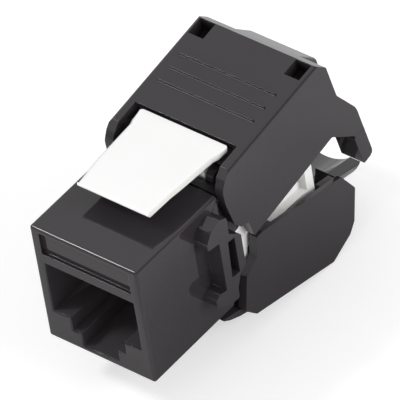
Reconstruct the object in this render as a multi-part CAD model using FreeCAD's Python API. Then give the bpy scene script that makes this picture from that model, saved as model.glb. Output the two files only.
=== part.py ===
import FreeCAD, Part
import math
import os

from FreeCAD import Vector

# Toolless keystone jack: a port housing with a snap-in panel latch, a terminal block behind it,
# and two hinged rear covers that press the wires home. Millimetres.
# X is right seen from the front, Y runs to the rear and Z is up. The origin is the centre of the front face.

# ---- driving dimensions ----
BODY_HALF_WIDTH = 7.25      # the front fits a 14.9 mm wide panel opening
BODY_HALF_HEIGHT = 8.0
BODY_DEPTH = 13.6
BODY_EDGE = 0.35            # moulded edge round
FRONT_WALL = 1.6
SIDE_WALL = 1.05

PORT_HALF_WIDTH = 5.95      # eight-way modular plug, tab side down
PORT_TOP = 3.0
PORT_FLOOR = -3.8
PORT_DEPTH = 12.3
TAB_STEP_HALF_WIDTH = 3.6
TAB_STEP_FLOOR = -5.6
TAB_SLOT_HALF_WIDTH = 2.4
TAB_SLOT_FLOOR = -7.3
PORT_EDGE = 0.28

LABEL_HALF_WIDTH = 6.05
LABEL_BOTTOM = 4.4
LABEL_TOP = 7.45
LABEL_DEPTH = 0.45

STOP_PROUD = 1.9            # the side stops stand this far out of the body

CONTACT_COUNT = 8
CONTACT_PITCH = 1.02
CONTACT_WIDTH = 0.4
CONTACT_THICKNESS = 0.34
CONTACT_BEND = 1.78         # radius of the front loop, to the strip's middle
CONTACT_LOOP_Y = 3.9
CONTACT_RUN_Z = 6.3
CONTACT_TIP_Y = 10.0
CONTACT_TIP_Z = 0.85

BLOCK_HALF_WIDTH = 6.6
BLOCK_REAR = 29.3
BLOCK_TOP = 4.6
CHANNEL_COUNT = 4           # wire channels on each side of the block
CHANNEL_PITCH = 3.1
CHANNEL_WIDTH = 1.7
CHANNEL_FRONT = 19.9
DECK_TOP = 1.3              # the channels' floor
UPPER_ROWS = (24.5, 27.5)    # the blades are staggered along the channels
LOWER_ROWS = (27.5, 24.5)
TERMINAL_WIDTH = 1.5
TERMINAL_THICKNESS = 0.4

BOARD_TOP = 0.0
BOARD_THICKNESS = 1.0
BOARD_HALF_WIDTH = 5.5
BOARD_FRONT = 14.3
BOARD_REAR = 28.6
BOARD_MIDDLE = BOARD_TOP - BOARD_THICKNESS / 2

COVER_HALF_WIDTH = 8.0
COVER_WALL = 1.1
COVER_INNER = COVER_HALF_WIDTH - COVER_WALL
COVER_EDGE = 0.45
LOWER_COVER_EDGE = 0.12
UPPER_EDGE_Z = -0.3         # the covers' meeting edges, with the wires' jackets between them
LOWER_EDGE_Z = -1.0
HINGE_Y = 18.6
UPPER_HINGE_Z = 1.0
LOWER_HINGE_Z = -3.6
HINGE_PIN_RADIUS = 1.0
RUNNING_GAP = 0.06
UPPER_OPEN_ANGLE = 11.5     # both covers are modelled closed and then opened
LOWER_OPEN_ANGLE = 12.0

LATCH_AXIS_Y = 16.4
LATCH_AXIS_Z = 7.9
LATCH_BAR_RADIUS = 0.65
LATCH_EAR_RADIUS = 1.15
LATCH_EAR_INNER = 4.6
LATCH_EAR_OUTER = 5.6

GATE_HALF_OPENING = 5.0     # the cable arch between the upper cover's two legs
GATE_FRONT = 34.6
GATE_REAR = 36.2
ARCH_SPRING_Z = -3.0
SADDLE_HALF_WIDTH = 4.7
SADDLE_REAR = 39.6
SADDLE_RIM_Z = -4.27
TROUGH_HALF_WIDTH = 3.3
TROUGH_BED_Z = -5.5


# ---- outlines and solids ----
def in_yz(y, z):
    return Vector(0, y, z)


def in_xz(x, z):
    return Vector(x, 0, z)


def in_xy(x, y):
    return Vector(x, y, 0)


def rounded_corner(before, corner, after, radius):
    """Start, middle and end of the arc that rounds a corner by radius."""
    u, v = corner
    if radius == 0:
        return corner, corner, corner
    back = (before[0] - u, before[1] - v)
    ahead = (after[0] - u, after[1] - v)
    back_length = math.hypot(*back)
    ahead_length = math.hypot(*ahead)
    back = (back[0] / back_length, back[1] / back_length)
    ahead = (ahead[0] / ahead_length, ahead[1] / ahead_length)
    half = math.acos(back[0] * ahead[0] + back[1] * ahead[1]) / 2
    reach = radius / math.tan(half)
    middle = (back[0] + ahead[0], back[1] + ahead[1])
    middle_length = math.hypot(*middle)
    dip = (radius / math.sin(half) - radius) / middle_length
    start = (u + back[0] * reach, v + back[1] * reach)
    end = (u + ahead[0] * reach, v + ahead[1] * reach)
    return start, (u + middle[0] * dip, v + middle[1] * dip), end


def outline_face(corners, place):
    """Flat face from (u, v, radius) corners in order round the outline."""
    count = len(corners)
    arcs = []
    for index, (u, v, radius) in enumerate(corners):
        before = corners[index - 1]
        after = corners[(index + 1) % count]
        arcs.append(rounded_corner(before[:2], (u, v), after[:2], radius))
    edges = []
    for index, (start, middle, end) in enumerate(arcs):
        if start != end:
            edges.append(Part.Arc(place(*start), place(*middle), place(*end)).toShape())
        following = arcs[(index + 1) % count][0]
        if math.dist(end, following) > 1e-6:
            edges.append(Part.LineSegment(place(*end), place(*following)).toShape())
    return Part.Face(Part.Wire(edges))


def along_x(corners, x_from, x_to):
    """Solid with a (y, z, radius) outline, between two X planes."""
    solid = outline_face(corners, in_yz).extrude(Vector(x_to - x_from, 0, 0))
    solid.translate(Vector(x_from, 0, 0))
    return solid


def across_x(corners, half_width):
    return along_x(corners, -half_width, half_width)


def along_y(corners, y_from, y_to):
    """Solid with an (x, z, radius) outline, between two Y planes."""
    solid = outline_face(corners, in_xz).extrude(Vector(0, y_to - y_from, 0))
    solid.translate(Vector(0, y_from, 0))
    return solid


def along_z(corners, z_from, z_to):
    """Solid with an (x, y, radius) outline, between two Z planes."""
    solid = outline_face(corners, in_xy).extrude(Vector(0, 0, z_to - z_from))
    solid.translate(Vector(0, 0, z_from))
    return solid


def box(x_from, x_to, y_from, y_to, z_from, z_to):
    return Part.makeBox(x_to - x_from, y_to - y_from, z_to - z_from, Vector(x_from, y_from, z_from))


def rod_x(y, z, radius, x_from, x_to):
    return Part.makeCylinder(radius, x_to - x_from, Vector(x_from, y, z), Vector(1, 0, 0))


def both_sides(right):
    """A shape on the right and its mirror image on the left."""
    left = right.mirror(Vector(0, 0, 0), Vector(1, 0, 0))
    return [right, left]


def mirrored_outline(half):
    """Closes a right-hand (x, z, radius) outline with its mirror image."""
    return half + [(-x, z, radius) for x, z, radius in reversed(half)]


def round_edges(solid, radius, chosen):
    """Rounds the edges whose middle point passes the test."""
    edges = []
    for edge in solid.Edges:
        middle = edge.valueAt((edge.FirstParameter + edge.LastParameter) / 2)
        if chosen(middle, edge):
            edges.append(edge)
    return solid.makeFillet(radius, edges)


def near(value, target):
    return abs(value - target) < 1e-3


def opened(cover, hinge_z, angle):
    cover.rotate(Vector(0, HINGE_Y, hinge_z), Vector(1, 0, 0), angle)
    return cover


def flipped(solid):
    """The lower half's copy of an upper shape, mirrored in the board's middle plane."""
    return solid.mirror(Vector(0, 0, BOARD_MIDDLE), Vector(0, 0, 1))


# ---- front housing ----
def port_channel():
    """The plug's path: cavity, tab step and tab slot, from the front face inwards."""
    half = [
        (PORT_HALF_WIDTH, PORT_TOP, 0),
        (PORT_HALF_WIDTH, PORT_FLOOR, 0),
        (TAB_STEP_HALF_WIDTH, PORT_FLOOR, 0),
        (TAB_STEP_HALF_WIDTH, TAB_STEP_FLOOR, 0),
        (TAB_SLOT_HALF_WIDTH, TAB_STEP_FLOOR, 0),
        (TAB_SLOT_HALF_WIDTH, TAB_SLOT_FLOOR, 0),
    ]
    return along_y(mirrored_outline(half), -1, PORT_DEPTH)


def side_stop():
    """The raised plate on the right side that stops the jack in the panel, with its moulding window."""
    plate = along_x([
        (12.65, 6.6, 0.3), (11.5, 7.15, 0.5), (10.0, 6.65, 0.6), (9.15, 5.4, 0.4), (9.2, 4.57, 0.1),
        (11.0, 4.2, 0.15), (11.0, -2.55, 0.15), (9.9, -2.3, 0.2), (9.15, -2.7, 0.2), (9.2, -3.6, 0.15),
        (11.2, -4.85, 0.3), (12.7, -4.95, 0.3), (12.75, -3.6, 0.4), (13.4, -2.1, 0.4), (14.45, -1.3, 0.2),
        (14.45, 2.8, 0.2), (12.65, 4.3, 0.1),
    ], BODY_HALF_WIDTH - 0.4, BODY_HALF_WIDTH + STOP_PROUD)
    window = along_x([
        (12.3, 3.35, 0.1), (13.4, 3.2, 0.1), (13.4, -1.75, 0.1), (12.1, -1.6, 0.1),
    ], BODY_HALF_WIDTH, BODY_HALF_WIDTH + STOP_PROUD + 1)
    return plate.cut(window)


def latch_ear():
    """The arm on the right that carries one end of the latch's hinge bar."""
    ear_top = LATCH_AXIS_Z + LATCH_EAR_RADIUS
    ear_bottom = LATCH_AXIS_Z - LATCH_EAR_RADIUS
    ear_rear = LATCH_AXIS_Y + LATCH_EAR_RADIUS
    ear_front = LATCH_AXIS_Y - LATCH_EAR_RADIUS
    arm = along_x([
        (BODY_DEPTH - 1, ear_bottom, 0), (ear_rear, ear_bottom, 1.1), (ear_rear, ear_top, 1.1),
        (ear_front, ear_top, 1.0), (ear_front, BODY_HALF_HEIGHT - 0.2, 0),
        (BODY_DEPTH - 1, BODY_HALF_HEIGHT - 0.2, 0),
    ], LATCH_EAR_INNER, LATCH_EAR_OUTER)
    bore = rod_x(LATCH_AXIS_Y, LATCH_AXIS_Z, LATCH_BAR_RADIUS + RUNNING_GAP,
                 LATCH_EAR_INNER - 1, LATCH_EAR_OUTER + 1)
    return arm.cut(bore)


def panel_lug():
    """The fixed catch under the front that hooks behind the panel's lower edge."""
    lug_half_width = 4.8
    lug_front = 7.6
    lug_drop = 1.3
    bottom = -BODY_HALF_HEIGHT
    return across_x([
        (lug_front, bottom + 0.3, 0), (lug_front, bottom - lug_drop, 0.2),
        (lug_front + 0.9, bottom - lug_drop, 0.2), (lug_front + 2.6, bottom, 0),
        (lug_front + 2.6, bottom + 0.3, 0),
    ], lug_half_width)


def housing():
    shell = box(-BODY_HALF_WIDTH, BODY_HALF_WIDTH, 0, BODY_DEPTH, -BODY_HALF_HEIGHT, BODY_HALF_HEIGHT)
    shell = round_edges(shell, BODY_EDGE, lambda middle, edge: not near(middle.y, BODY_DEPTH))
    carrier_cavity = box(-(BODY_HALF_WIDTH - SIDE_WALL), BODY_HALF_WIDTH - SIDE_WALL,
                         FRONT_WALL, BODY_DEPTH + 1, PORT_TOP, BODY_HALF_HEIGHT - 1.1)
    label = along_y(mirrored_outline([
        (LABEL_HALF_WIDTH, LABEL_TOP, 0.2), (LABEL_HALF_WIDTH, LABEL_BOTTOM, 0.2),
    ]), -1, LABEL_DEPTH)
    shell = shell.cut(port_channel())
    shell = round_edges(shell, PORT_EDGE, lambda middle, edge: near(middle.y, 0)
                        and abs(middle.x) < PORT_HALF_WIDTH + 0.1 and middle.z < PORT_TOP + 0.1)
    shell = shell.cut([carrier_cavity, label])
    additions = both_sides(side_stop()) + both_sides(latch_ear()) + [panel_lug()]
    shell = shell.fuse(additions)
    snap_pockets = both_sides(box(BODY_HALF_WIDTH - SIDE_WALL - 0.1, BODY_HALF_WIDTH - 0.5, 9.8, 11.0, 4.0, 5.8))
    return shell.cut(snap_pockets).removeSplitter()


# ---- contacts and their carrier ----
def contact_x(index):
    return (index - (CONTACT_COUNT - 1) / 2) * CONTACT_PITCH


def tail_y(index):
    """The tails stand in two rows on the board."""
    return 15.1 if index % 2 else 16.6


def spring_contact(index):
    """One bent strip: tail on the board, run along the carrier, front loop and sloping spring."""
    half = CONTACT_THICKNESS / 2
    loop_z = CONTACT_RUN_Z - CONTACT_BEND
    drop = loop_z - CONTACT_TIP_Z
    reach = CONTACT_TIP_Y - CONTACT_LOOP_Y
    slope = math.atan2(drop, reach) - math.asin(CONTACT_BEND / math.hypot(drop, reach))
    leave = math.pi - slope
    tail_front = tail_y(index) - half
    tail_rear = tail_y(index) + half
    tail_end = BOARD_TOP - BOARD_THICKNESS

    def on_loop(radius, angle):
        return in_yz(CONTACT_LOOP_Y - radius * math.sin(angle), loop_z + radius * math.cos(angle))

    def at_tip(side):
        return in_yz(CONTACT_TIP_Y + side * half * math.sin(slope), CONTACT_TIP_Z + side * half * math.cos(slope))

    outer = CONTACT_BEND + half
    inner = CONTACT_BEND - half
    outer_loop = Part.Arc(on_loop(outer, 0), on_loop(outer, math.pi / 2), on_loop(outer, leave))
    inner_loop = Part.Arc(on_loop(inner, leave), on_loop(inner, math.pi / 2), on_loop(inner, 0))
    tail = [
        on_loop(inner, 0), in_yz(tail_front, CONTACT_RUN_Z - half), in_yz(tail_front, tail_end),
        in_yz(tail_rear, tail_end), in_yz(tail_rear, CONTACT_RUN_Z + half), on_loop(outer, 0),
    ]
    spring = [on_loop(outer, leave), at_tip(-1), at_tip(1), on_loop(inner, leave)]
    straight = list(zip(tail, tail[1:])) + list(zip(spring, spring[1:]))
    edges = [Part.LineSegment(start, end).toShape() for start, end in straight]
    edges += [outer_loop.toShape(), inner_loop.toShape()]
    outline = Part.Wire(Part.__sortEdges__(edges))
    strip = Part.Face(outline).extrude(Vector(CONTACT_WIDTH, 0, 0))
    strip.translate(Vector(contact_x(index) - CONTACT_WIDTH / 2, 0, 0))
    return strip


def contact_carrier():
    """The insert over the port: a rounded nose that the contacts bend round, with ribs between them."""
    half_width = BODY_HALF_WIDTH - SIDE_WALL - 0.1
    rear_half_width = 4.5
    arm_start = 8.8
    rear = BODY_DEPTH - 0.1
    floor_top = CONTACT_RUN_Z - CONTACT_THICKNESS / 2 - 0.08
    rib_top = CONTACT_RUN_Z + CONTACT_THICKNESS / 2 + 0.2
    nose = CONTACT_LOOP_Y - CONTACT_BEND + CONTACT_THICKNESS / 2 + 0.08
    rib_nose = nose - CONTACT_THICKNESS - 0.2
    floor = across_x([
        (nose, PORT_TOP, 1.5), (rear, PORT_TOP, 0), (rear, floor_top, 0), (nose, floor_top, 1.5),
    ], half_width)
    parts = []
    for index in range(CONTACT_COUNT + 1):
        middle = contact_x(index) - CONTACT_PITCH / 2
        rib_half = (CONTACT_PITCH - CONTACT_WIDTH) / 2 - 0.06
        parts.append(along_x([
            (rib_nose, PORT_TOP, 0), (rear, PORT_TOP, 0), (rear, rib_top, 0), (rib_nose, rib_top, 1.5),
        ], middle - rib_half, middle + rib_half))
    carrier = floor.fuse(parts)
    arm_slots = both_sides(box(rear_half_width, half_width + 1, arm_start, rear + 1, 0, rib_top + 1))
    return carrier.cut(arm_slots).removeSplitter()


# ---- board, terminals and their block ----
def channel_x(index):
    return (index - (CHANNEL_COUNT - 1) / 2) * CHANNEL_PITCH


def insulation_terminal(index, rows):
    """Forked blade in an upper channel: pin through the board, shoulders on it, slot open at the top."""
    x = channel_x(index)
    half = TERMINAL_WIDTH / 2
    tip = 4.2
    slot_half = 0.2
    slot_bottom = 1.8
    lead = 0.4
    pin_half = 0.3
    right = [
        (slot_half, slot_bottom, 0), (slot_half, tip - lead, 0), (slot_half + lead, tip, 0), (half, tip - 0.2, 0),
        (half, BOARD_TOP, 0), (pin_half, BOARD_TOP, 0), (pin_half, BOARD_TOP - BOARD_THICKNESS, 0),
    ]
    outline = [(x + u, z, r) for u, z, r in mirrored_outline(right)]
    middle = rows[index % 2]
    return along_y(outline, middle - TERMINAL_THICKNESS / 2, middle + TERMINAL_THICKNESS / 2)


def pin_hole(x, y):
    """Plated hole through the board, eight-sided to keep the repeated holes light."""
    corner = 0.41
    turns = [math.radians(22.5 + 45 * side) for side in range(8)]
    outline = [(x + corner * math.cos(turn), y + corner * math.sin(turn), 0) for turn in turns]
    return along_z(outline, BOARD_TOP - BOARD_THICKNESS - 1, BOARD_TOP + 1)


def circuit_board():
    board = along_z([
        (-BOARD_HALF_WIDTH, BOARD_FRONT, 0.4), (BOARD_HALF_WIDTH, BOARD_FRONT, 0.4),
        (BOARD_HALF_WIDTH, BOARD_REAR, 0.4), (-BOARD_HALF_WIDTH, BOARD_REAR, 0.4),
    ], BOARD_TOP - BOARD_THICKNESS, BOARD_TOP)
    holes = [pin_hole(contact_x(index), tail_y(index)) for index in range(CONTACT_COUNT)]
    for index in range(CHANNEL_COUNT):
        holes += [pin_hole(channel_x(index), row) for row in UPPER_ROWS]
    return board.cut(holes)


def wire_channels(rows):
    """The upper channels, open above and to the rear, with a flared mouth and a pocket for each blade."""
    cuts = []
    half = CHANNEL_WIDTH / 2
    flare = 0.45
    for index in range(CHANNEL_COUNT):
        x = channel_x(index)
        cuts.append(along_z([
            (x - half, CHANNEL_FRONT, 0.6), (x + half, CHANNEL_FRONT, 0.6), (x + half, BLOCK_REAR - 1.2, 0),
            (x + half + flare, BLOCK_REAR + 1, 0), (x - half - flare, BLOCK_REAR + 1, 0),
            (x - half, BLOCK_REAR - 1.2, 0),
        ], DECK_TOP, BLOCK_TOP + 1))
        y = rows[index % 2]
        blade_half = TERMINAL_WIDTH / 2 + 0.08
        slit_half = TERMINAL_THICKNESS / 2 + 0.08
        cuts.append(box(x - blade_half, x + blade_half, y - slit_half, y + slit_half, BOARD_TOP - 0.1, DECK_TOP + 1))
    return cuts


def terminal_block():
    """White core: wire channels above and below, the board in a slot between them, hinge bores at the sides."""
    bottom = 2 * BOARD_MIDDLE - BLOCK_TOP
    block = across_x([
        (BODY_DEPTH, bottom + 1.2, 0.4), (BODY_DEPTH + 1.6, bottom, 0.4), (BLOCK_REAR - 0.8, bottom, 0),
        (BLOCK_REAR, bottom + 0.8, 0), (BLOCK_REAR, BLOCK_TOP - 0.8, 0), (BLOCK_REAR - 0.8, BLOCK_TOP, 0),
        (BODY_DEPTH + 1.6, BLOCK_TOP, 0.4), (BODY_DEPTH, BLOCK_TOP - 1.2, 0.4),
    ], BLOCK_HALF_WIDTH)
    slot_gap = 0.05
    board_slot = box(-BOARD_HALF_WIDTH - slot_gap, BOARD_HALF_WIDTH + slot_gap, BODY_DEPTH - 1, BOARD_REAR + slot_gap,
                     BOARD_TOP - BOARD_THICKNESS - slot_gap, BOARD_TOP + slot_gap)
    tail_pocket = box(-4.7, 4.7, BODY_DEPTH - 1, 17.6, bottom - 1, BLOCK_TOP + 1)
    upper = wire_channels(UPPER_ROWS)
    lower = [flipped(cut) for cut in wire_channels(LOWER_ROWS)]
    bore_radius = HINGE_PIN_RADIUS + RUNNING_GAP
    bores = []
    for hinge_z in (UPPER_HINGE_Z, LOWER_HINGE_Z):
        bores += both_sides(rod_x(HINGE_Y, hinge_z, bore_radius, 5.5, BLOCK_HALF_WIDTH + 1))
    block = block.cut([board_slot, tail_pocket] + upper + lower + bores)
    snap_arm = along_x([
        (9.0, 3.9, 0), (BODY_DEPTH + 0.5, 3.2, 0), (BODY_DEPTH + 0.5, BLOCK_TOP - 0.9, 0), (BODY_DEPTH, 5.9, 0),
        (9.0, 5.9, 0.3),
    ], 4.8, 5.9)
    snap_hook = along_z([(5.8, 9.9, 0), (5.8, 10.9, 0), (6.55, 10.9, 0), (6.15, 9.9, 0)], 4.2, 5.6)
    return block.fuse(both_sides(snap_arm.fuse(snap_hook))).removeSplitter()


# ---- covers, modelled closed ----
def hinge_pins(hinge_z):
    return both_sides(rod_x(HINGE_Y, hinge_z, HINGE_PIN_RADIUS, 5.7, COVER_INNER + 0.3))


def wire_presser(root_z, tip_z, y):
    """Comb that stands on the cover's inner face and pushes one wire down each channel."""
    finger_half = 0.55
    thickness = 0.9
    bridge_z = root_z + (tip_z - root_z) * 0.35
    comb = [box(-COVER_INNER - 0.2, COVER_INNER + 0.2, y - thickness / 2, y + thickness / 2,
                min(root_z, bridge_z), max(root_z, bridge_z))]
    for index in range(CHANNEL_COUNT):
        x = channel_x(index)
        comb.append(box(x - finger_half, x + finger_half, y - thickness / 2, y + thickness / 2,
                        min(root_z, tip_z), max(root_z, tip_z)))
    return comb[0].fuse(comb[1:])


def upper_cover_shell():
    """Roof, side walls with their curved noses, rear wall and the gate that carries the cable arch."""
    return across_x([
        (17.4, 11.2, 0), (16.35, 10.45, 0.8), (15.55, 9.4, 1.5), (15.3, 7.4, 2.0), (15.45, 3.9, 1.2), (16.2, 2.65, 0.3),
        (17.3, 2.15, 0.1), (17.35, UPPER_EDGE_Z, 0.1), (31.7, UPPER_EDGE_Z, 0.3), (34.4, -3.35, 0.1),
        (GATE_FRONT, -3.6, 0), (GATE_FRONT, -7.6, 0.2), (34.9, -8.15, 0.2), (35.8, -8.0, 0.2), (GATE_REAR, -7.3, 0.4),
        (GATE_REAR, -0.4, 3.0), (34.3, 3.95, 0.8), (34.3, 8.85, 0.3), (33.05, 10.47, 0),
    ], COVER_HALF_WIDTH)


def cable_hood():
    """The middle of the rear wall stands out as a hood over the cable."""
    hood = across_x([
        (32.6, 9.6, 0), (33.6, 9.72, 0), (GATE_REAR, 6.25, 0.2), (GATE_REAR, -1.0, 0), (32.6, -1.0, 0),
    ], GATE_HALF_OPENING)
    return round_edges(hood, 0.8, lambda middle, edge: middle.z > -0.9 and abs(middle.x) > GATE_HALF_OPENING - 0.01
                       and middle.y > 34.5)


def cover_interior():
    """Hollow of the upper cover, open at the front and below."""
    wide = across_x([
        (10, -12, 0), (10, 10.6, 0), (20.4, 10.08, 0), (32.5, 9.47, 0.4), (33.15, 8.6, 0.2), (33.15, 4.3, 0.8),
        (GATE_FRONT, 1.6, 0.4), (GATE_FRONT, -12, 0),
    ], COVER_INNER)
    hood_room = across_x([
        (30, -8, 0), (30, 7.0, 0), (34.0, 7.6, 0), (35.15, 6.0, 0), (35.15, -8, 0),
    ], GATE_HALF_OPENING - 1.0)
    return [wide, hood_room]


def cable_arch():
    """Passage for the cable through the gate: straight legs under a half round."""
    radius = GATE_HALF_OPENING
    arch = Part.makeCylinder(radius, 6, Vector(0, 32, ARCH_SPRING_Z), Vector(0, 1, 0))
    legs = box(-radius, radius, 32, 38, -12, ARCH_SPRING_Z)
    return arch.fuse(legs)


def grip_ridges():
    ridge_half_length = 6.4
    ridges = []
    for y, z in ((23.95, 10.92), (25.95, 10.82), (27.95, 10.72)):
        ridges.append(across_x([
            (y - 0.12, z - 0.3, 0), (y + 0.12, z - 0.3, 0), (y + 0.09, z + 0.22, 0), (y - 0.09, z + 0.22, 0),
        ], ridge_half_length))
    return ridges


def upper_cover():
    cover = upper_cover_shell()
    cover = round_edges(cover, COVER_EDGE, lambda middle, edge: near(abs(middle.x), COVER_HALF_WIDTH)
                        and middle.z > 9.9 and edge.Length > 10)
    cover = cover.fuse(cable_hood()).cut(cover_interior())
    latch_notch = box(-6.85, 6.85, 10, 20.4, 6, 13)
    corner_pockets = both_sides(box(5.45, 7.5, 30.7, 32.95, 7.6, 13))
    cover = cover.cut([latch_notch, cable_arch()] + corner_pockets)
    details = grip_ridges() + hinge_pins(UPPER_HINGE_Z) + [wire_presser(9.9, 3.1, 26.0)]
    return opened(cover.fuse(details).removeSplitter(), UPPER_HINGE_Z, UPPER_OPEN_ANGLE)


def lower_cover_shell():
    """Floor with a rising front lip, side walls with cut corners, and the rear wall."""
    walls = across_x([
        (18.4, LOWER_EDGE_Z, 0.2), (17.4, -1.25, 0.1), (17.5, -3.7, 0.4), (15.75, -5.45, 0.4), (15.7, -9.85, 0.2),
        (17.7, -11.2, 0), (30.8, -11.47, 0), (33.75, -9.25, 0.8), (34.4, -7.9, 0.3), (34.4, -3.6, 0.3),
        (31.9, LOWER_EDGE_Z, 0.2),
    ], COVER_HALF_WIDTH)
    walls = round_edges(walls, LOWER_COVER_EDGE, lambda middle, edge: near(abs(middle.x), COVER_HALF_WIDTH)
                        and middle.z < -11 and edge.Length > 10)
    inside = across_x([
        (10, 2, 0), (10, -9.9, 0), (17.0, -10.1, 0), (30.5, -10.35, 0.3), (33.0, -8.5, 0.6), (33.3, -7.6, 0.3),
        (33.3, 2, 0),
    ], COVER_INNER)
    lip = across_x([
        (12.3, -9.72, 0.1), (15.4, -9.85, 0), (18.5, -10.4, 0), (18.5, -10.95, 0), (15.6, -10.7, 0), (13.9, -10.35, 0),
    ], BODY_HALF_WIDTH)
    return walls.cut(inside).fuse(lip)


def cable_saddle():
    """The shelf behind the rear wall that the cable lies on, with a rounded underside."""
    bottom_z = -7.75
    root_y = 33.6
    left = in_xz(-SADDLE_HALF_WIDTH, SADDLE_RIM_Z)
    right = in_xz(SADDLE_HALF_WIDTH, SADDLE_RIM_Z)
    underside = Part.Arc(left, in_xz(0, bottom_z), right).toShape()
    rim = Part.LineSegment(right, left).toShape()
    saddle = Part.Face(Part.Wire([underside, rim])).extrude(Vector(0, SADDLE_REAR - root_y, 0))
    saddle.translate(Vector(0, root_y, 0))
    return saddle


def cable_trough():
    """The bed for the cable, through the rear wall and along the saddle, with rounded lower corners."""
    return along_y(mirrored_outline([
        (TROUGH_HALF_WIDTH + 0.2, 0, 0), (TROUGH_HALF_WIDTH, TROUGH_BED_Z, 1.7),
    ]), 32, SADDLE_REAR + 1)


def lower_cover():
    tip = 2 * BOARD_MIDDLE - 3.1
    details = hinge_pins(LOWER_HINGE_Z) + [cable_saddle(), wire_presser(-10.4, tip, 26.0)]
    cover = lower_cover_shell().fuse(details).cut(cable_trough())
    return opened(cover.removeSplitter(), LOWER_HINGE_Z, -LOWER_OPEN_ANGLE)


# ---- panel latch ----
def panel_latch():
    """White tongue: a tapered plate, free at the front, on a stem with a cross bar that clips into the ears."""
    plate_bottom = 10.2
    plate_top = 10.95
    front = 5.67
    rear = 17.7
    profile = across_x([
        (front, plate_bottom, 0.1), (front, plate_bottom + 0.4, 0.15), (9.0, plate_top, 3.0), (rear, plate_top, 0.7),
        (17.45, LATCH_AXIS_Z - 0.9, 0.7), (LATCH_AXIS_Y - 0.9, LATCH_AXIS_Z - 0.9, 0.7),
        (15.3, 9.6, 0.4), (13.0, plate_bottom - 0.1, 2.0),
    ], 6.2)
    plan = along_z([
        (-4.9, front - 0.1, 0.5), (4.9, front - 0.1, 0.5), (5.35, 10.5, 12.0), (6.0, rear + 0.1, 0.9),
        (-6.0, rear + 0.1, 0.9), (-5.35, 10.5, 12.0),
    ], LATCH_AXIS_Z - 3, plate_top + 1)
    tongue = profile.common(plan)
    ear_room = both_sides(box(LATCH_EAR_INNER - 0.3, 8, LATCH_AXIS_Y - 3, rear + 1, 5, LATCH_AXIS_Z + 1.75))
    tongue = tongue.cut(ear_room)
    bar = rod_x(LATCH_AXIS_Y, LATCH_AXIS_Z, LATCH_BAR_RADIUS, -LATCH_EAR_OUTER, LATCH_EAR_OUTER)
    return tongue.fuse(bar).removeSplitter()


# ---- the whole jack ----
def all_parts():
    parts = {
        "housing": housing(),
        "panel_latch": panel_latch(),
        "contact_carrier": contact_carrier(),
        "circuit_board": circuit_board(),
        "terminal_block": terminal_block(),
        "upper_cover": upper_cover(),
        "lower_cover": lower_cover(),
    }
    for index in range(CONTACT_COUNT):
        parts[f"contact_{index + 1}"] = spring_contact(index)
    for index in range(CHANNEL_COUNT):
        parts[f"upper_terminal_{index + 1}"] = insulation_terminal(index, UPPER_ROWS)
        parts[f"lower_terminal_{index + 1}"] = flipped(insulation_terminal(index, LOWER_ROWS))
    return parts


def main():
    os.makedirs("parts", exist_ok=True)
    for name, shape in all_parts().items():
        shape.exportStep(f"parts/{name}.step")
        print(f"{name}: {len(shape.Solids)} solid, {shape.Volume:.1f} mm3, valid {shape.isValid()}")


main()
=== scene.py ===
import math

import bpy
from mathutils import Matrix, Vector


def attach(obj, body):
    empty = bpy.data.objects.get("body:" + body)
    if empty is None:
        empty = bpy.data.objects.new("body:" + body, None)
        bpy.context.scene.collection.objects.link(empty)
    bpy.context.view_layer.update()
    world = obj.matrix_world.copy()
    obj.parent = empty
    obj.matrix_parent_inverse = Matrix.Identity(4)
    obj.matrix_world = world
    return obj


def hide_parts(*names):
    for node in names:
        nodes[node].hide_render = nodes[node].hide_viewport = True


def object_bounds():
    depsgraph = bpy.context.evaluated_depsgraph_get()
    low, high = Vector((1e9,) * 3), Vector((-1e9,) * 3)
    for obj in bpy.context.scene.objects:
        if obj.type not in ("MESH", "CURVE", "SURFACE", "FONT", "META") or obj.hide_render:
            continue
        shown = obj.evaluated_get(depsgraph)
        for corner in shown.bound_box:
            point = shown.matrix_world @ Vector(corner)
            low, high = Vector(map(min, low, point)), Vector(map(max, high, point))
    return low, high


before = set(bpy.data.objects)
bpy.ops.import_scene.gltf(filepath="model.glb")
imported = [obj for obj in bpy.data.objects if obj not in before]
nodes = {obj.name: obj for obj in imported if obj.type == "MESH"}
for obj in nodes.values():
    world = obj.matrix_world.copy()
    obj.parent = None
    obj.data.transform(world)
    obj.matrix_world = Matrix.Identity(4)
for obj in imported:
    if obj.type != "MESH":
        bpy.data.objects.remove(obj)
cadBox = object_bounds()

print("frame loaded")
scene = bpy.context.scene
mm = 0.001
near = 0.01 * mm  # a point this close to a named height or edge counts as on it
close = 0.1 * mm  # the same, where corners have been rounded or an edge is short

# the sockets of a Mix node, for numbers and for colours
numberA, numberB, numberOut = 2, 3, 0
colorA, colorB, colorOut = 6, 7, 2


def mathNode(tree, operation):
    node = tree.nodes.new("ShaderNodeMath")
    node.operation = operation
    return node


def mixNode(tree, dataType):
    node = tree.nodes.new("ShaderNodeMix")
    node.data_type = dataType
    return node


def rangeNode(tree, span, results=(0, 1), smooth=True):
    node = tree.nodes.new("ShaderNodeMapRange")
    node.interpolation_type = "SMOOTHSTEP" if smooth else "LINEAR"
    node.inputs["From Min"].default_value = span[0]
    node.inputs["From Max"].default_value = span[1]
    node.inputs["To Min"].default_value = results[0]
    node.inputs["To Max"].default_value = results[1]
    return node


def noiseNode(tree, scale, detail):
    node = tree.nodes.new("ShaderNodeTexNoise")
    node.inputs["Scale"].default_value = scale
    node.inputs["Detail"].default_value = detail
    return node


def bumpNode(tree, strength, height):
    node = tree.nodes.new("ShaderNodeBump")
    node.inputs["Strength"].default_value = strength
    node.inputs["Distance"].default_value = height
    return node


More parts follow.
